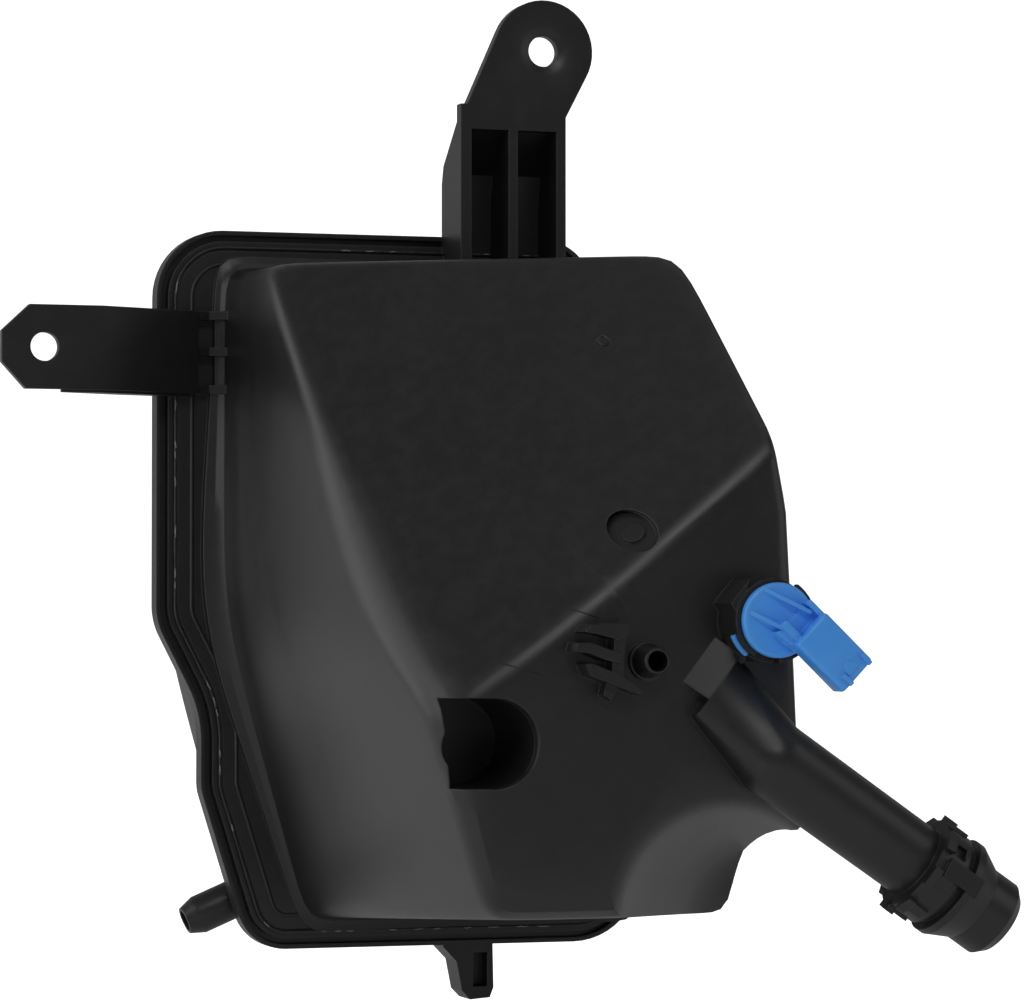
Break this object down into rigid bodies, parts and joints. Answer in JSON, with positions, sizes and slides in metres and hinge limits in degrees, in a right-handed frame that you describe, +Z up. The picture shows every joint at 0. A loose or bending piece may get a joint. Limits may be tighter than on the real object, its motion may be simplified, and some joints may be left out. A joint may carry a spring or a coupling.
{
  "type": "coolant expansion tank",
  "caption": "Moulded coolant expansion tank with fixing eye and strap, angled outlet pipe, level sensor, hose nipples and a screw pressure cap with relief valves.",
  "frame": {"origin": "centre of the upper fixing eye's hole, half way through the eye plate", "axes": "+Z up along the tank, +X to the right seen from the front, +Y back through the tank from the outlet side to the filler side"},
  "size_m": [0.2969, 0.3106, 0.3605],
  "materials": {
    "black_plastic": "satin, moulded",
    "blue_plastic": "semi-gloss, moulded",
    "float_plastic": "foamed, matt",
    "insert_plastic": "satin",
    "seal_rubber": "matt",
    "contact_metal": "bright, stamped",
    "steel": "drawn",
    "magnet_metal": "dull sintered",
    "switch_glass": "clear"
  },
  "bodies": {
    "tank": {"front_shell": "black_plastic", "rear_shell": "black_plastic"},
    "sensor": {"sensor_housing": "blue_plastic", "terminal_left": "contact_metal", "terminal_right": "contact_metal", "reed_switch": "switch_glass", "sensor_ring": "seal_rubber", "float_pin": "steel"},
    "float": {"sensor_float": "float_plastic", "float_magnet": "magnet_metal"},
    "cap_insert": {"cap_stopper": "insert_plastic", "cap_gasket": "seal_rubber", "cap_ring": "seal_rubber", "relief_spring": "steel", "spring_retainer": "steel"},
    "cap_cover": {"cap_shell": "black_plastic"},
    "relief_valve": {"relief_plate": "steel", "relief_seal": "seal_rubber", "vacuum_spring": "steel"},
    "vacuum_valve": {"vacuum_disc": "contact_metal"}
  },
  "joints": [
    {"name": "sensor_twist", "type": "hinge", "parent": "tank", "child": "sensor", "pos_m": [0.012, -0.181, -0.204], "axis": [0, -1, 0], "range_deg": [0, 40]},
    {"name": "float_swing", "type": "hinge", "parent": "sensor", "child": "float", "pos_m": [0.012, -0.129, -0.204], "axis": [1, 0, 0], "range_deg": [0, 30]},
    {"name": "cap_turn", "type": "hinge", "parent": "cap_insert", "child": "cap_cover", "pos_m": [-0.055, 0.063, -0.088], "axis": [0, 0, 1], "range_deg": [0, 360]},
    {"name": "cap_lift", "type": "slide", "parent": "tank", "child": "cap_insert", "axis": [0, 0, 1], "range_m": [0, 0.008]},
    {"name": "relief_slide", "type": "slide", "parent": "cap_insert", "child": "relief_valve", "axis": [0, 0, 1], "range_m": [0, 0.003], "stiffness_N_per_m": 4000, "springref_m": -0.005, "deforming": ["relief_spring"]},
    {"name": "vacuum_slide", "type": "slide", "parent": "relief_valve", "child": "vacuum_valve", "axis": [0, 0, -1], "range_m": [0, 0.0012], "stiffness_N_per_m": 300, "springref_m": -0.002, "deforming": ["vacuum_spring"]}
  ],
  "couplings": [
    {"joint": "cap_turn", "follows": "cap_lift", "rad_per_m": 785.39}
  ]
}
